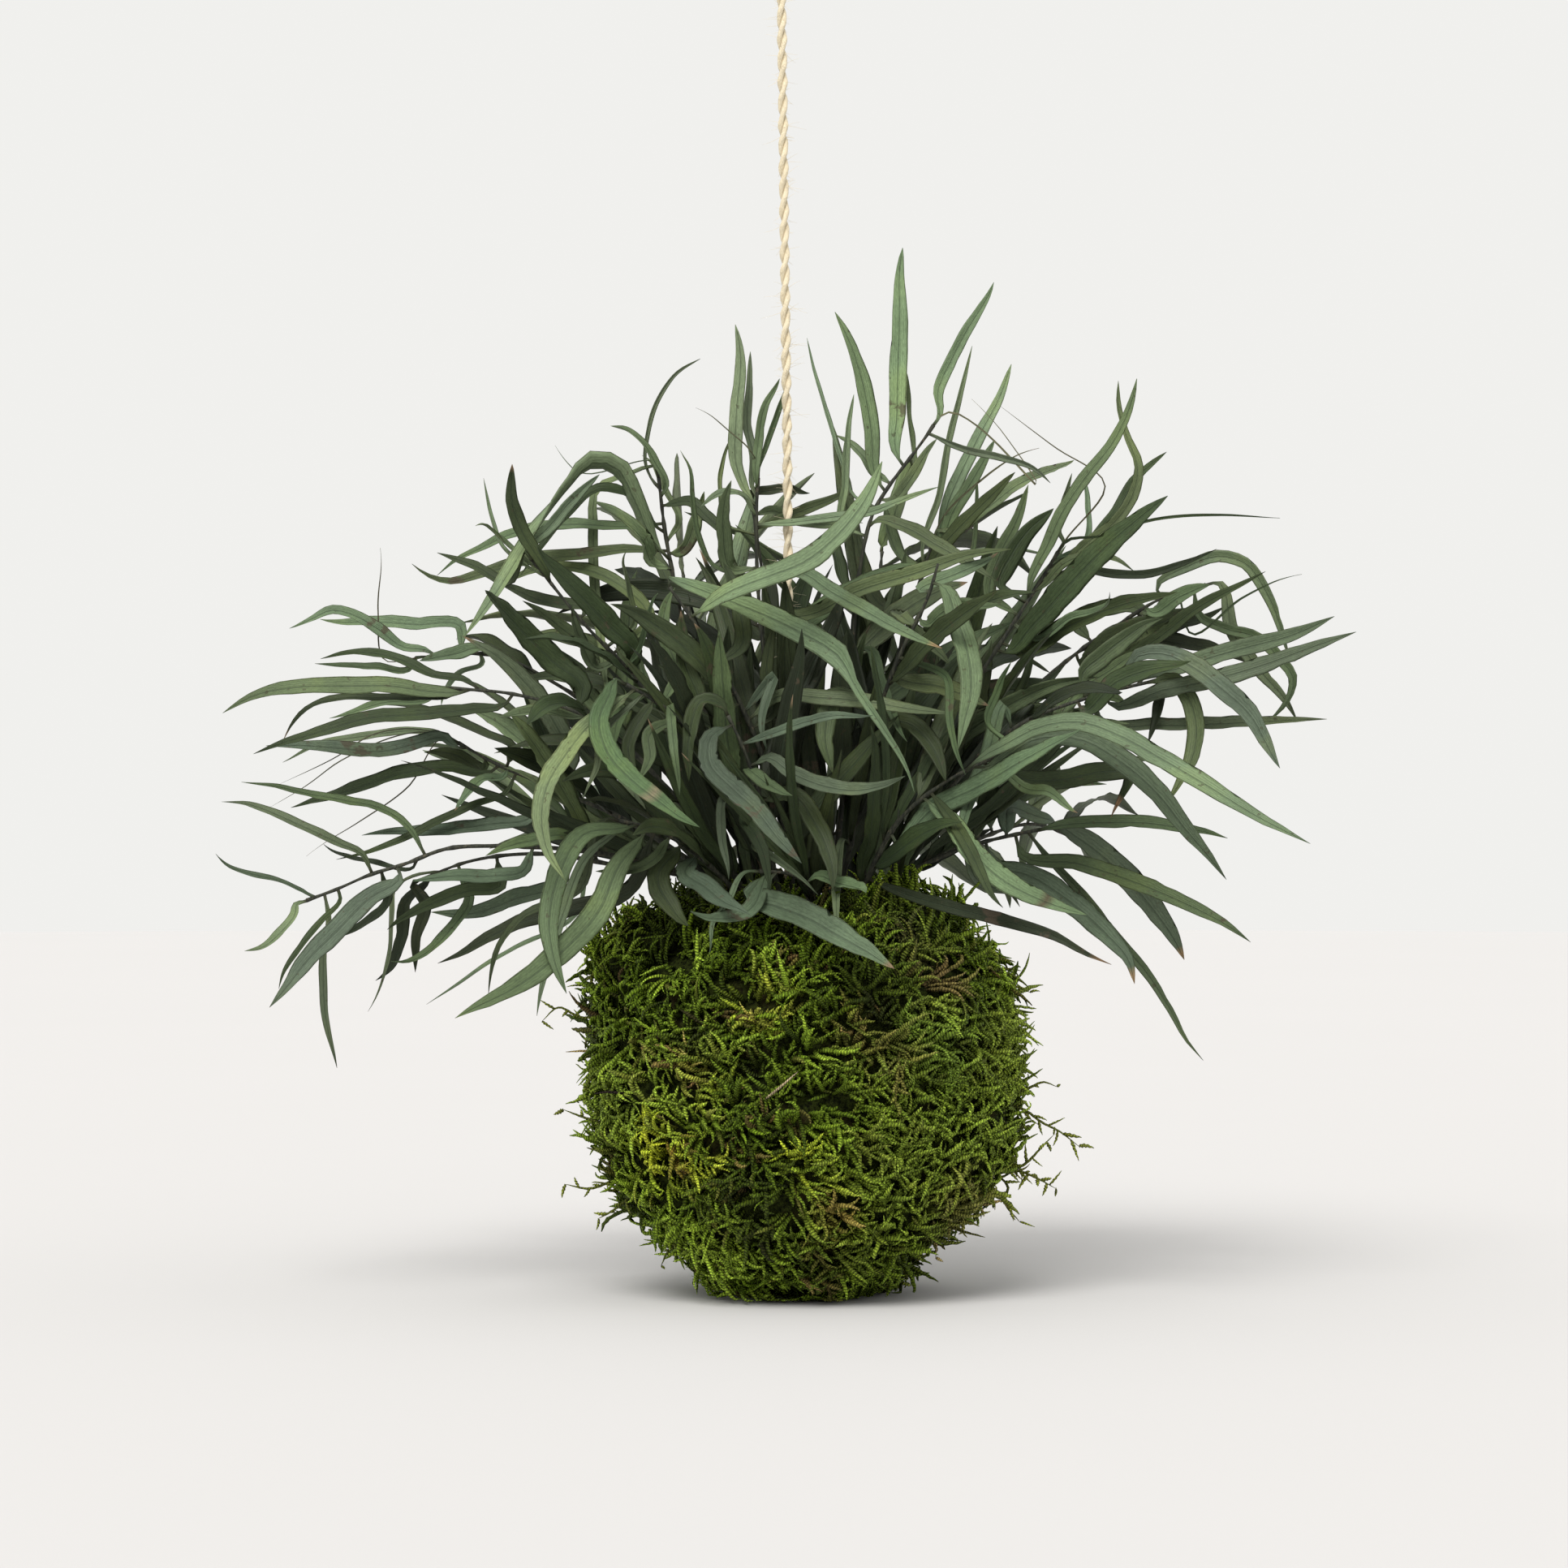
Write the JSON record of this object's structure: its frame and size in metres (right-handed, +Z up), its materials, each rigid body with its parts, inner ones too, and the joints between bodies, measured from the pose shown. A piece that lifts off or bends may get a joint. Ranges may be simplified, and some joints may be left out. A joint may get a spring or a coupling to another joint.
{
  "type": "kokedama moss ball plant",
  "caption": "Moss-covered soil ball planted with a wide bush of narrow arching eucalyptus leaves, with a jute twine and hanging loop rising from its middle.",
  "frame": {"origin": "middle of the small flat spot that the moss ball rests on", "axes": "+Z up through the ball and the bush; -Y is the front; +X is to the right as seen from the front"},
  "size_m": [0.2889, 0.2138, 0.3716],
  "materials": {
    "soil": null,
    "moss": "living feather moss in short tangled strands, matte; fabric stands in for moss",
    "eucalyptus_leaf": "preserved narrow eucalyptus leaves and thin dark twigs, matte grey-green; leather stands in for leaves",
    "jute_twine": "natural two-ply jute twine, hairy and matte"
  },
  "bodies": {
    "root": {"soil_ball": "soil", "moss_cover": "moss", "sprig_01": "eucalyptus_leaf", "sprig_02": "eucalyptus_leaf", "sprig_03": "eucalyptus_leaf", "sprig_04": "eucalyptus_leaf", "sprig_05": "eucalyptus_leaf", "sprig_06": "eucalyptus_leaf", "sprig_07": "eucalyptus_leaf", "sprig_08": "eucalyptus_leaf", "sprig_09": "eucalyptus_leaf", "sprig_10": "eucalyptus_leaf", "sprig_11": "eucalyptus_leaf", "sprig_12": "eucalyptus_leaf", "sprig_13": "eucalyptus_leaf", "sprig_14": "eucalyptus_leaf", "sprig_15": "eucalyptus_leaf", "sprig_16": "eucalyptus_leaf", "sprig_17": "eucalyptus_leaf", "sprig_18": "eucalyptus_leaf", "sprig_19": "eucalyptus_leaf", "sprig_20": "eucalyptus_leaf", "sprig_21": "eucalyptus_leaf", "sprig_22": "eucalyptus_leaf", "sprig_23": "eucalyptus_leaf", "sprig_24": "eucalyptus_leaf", "sprig_25": "eucalyptus_leaf", "sprig_26": "eucalyptus_leaf", "sprig_27": "eucalyptus_leaf", "sprig_28": "eucalyptus_leaf", "twine_stop_knot": "jute_twine", "twine": "jute_twine", "loop_knot": "jute_twine", "hanging_loop": "jute_twine"}
  },
  "joints": []
}
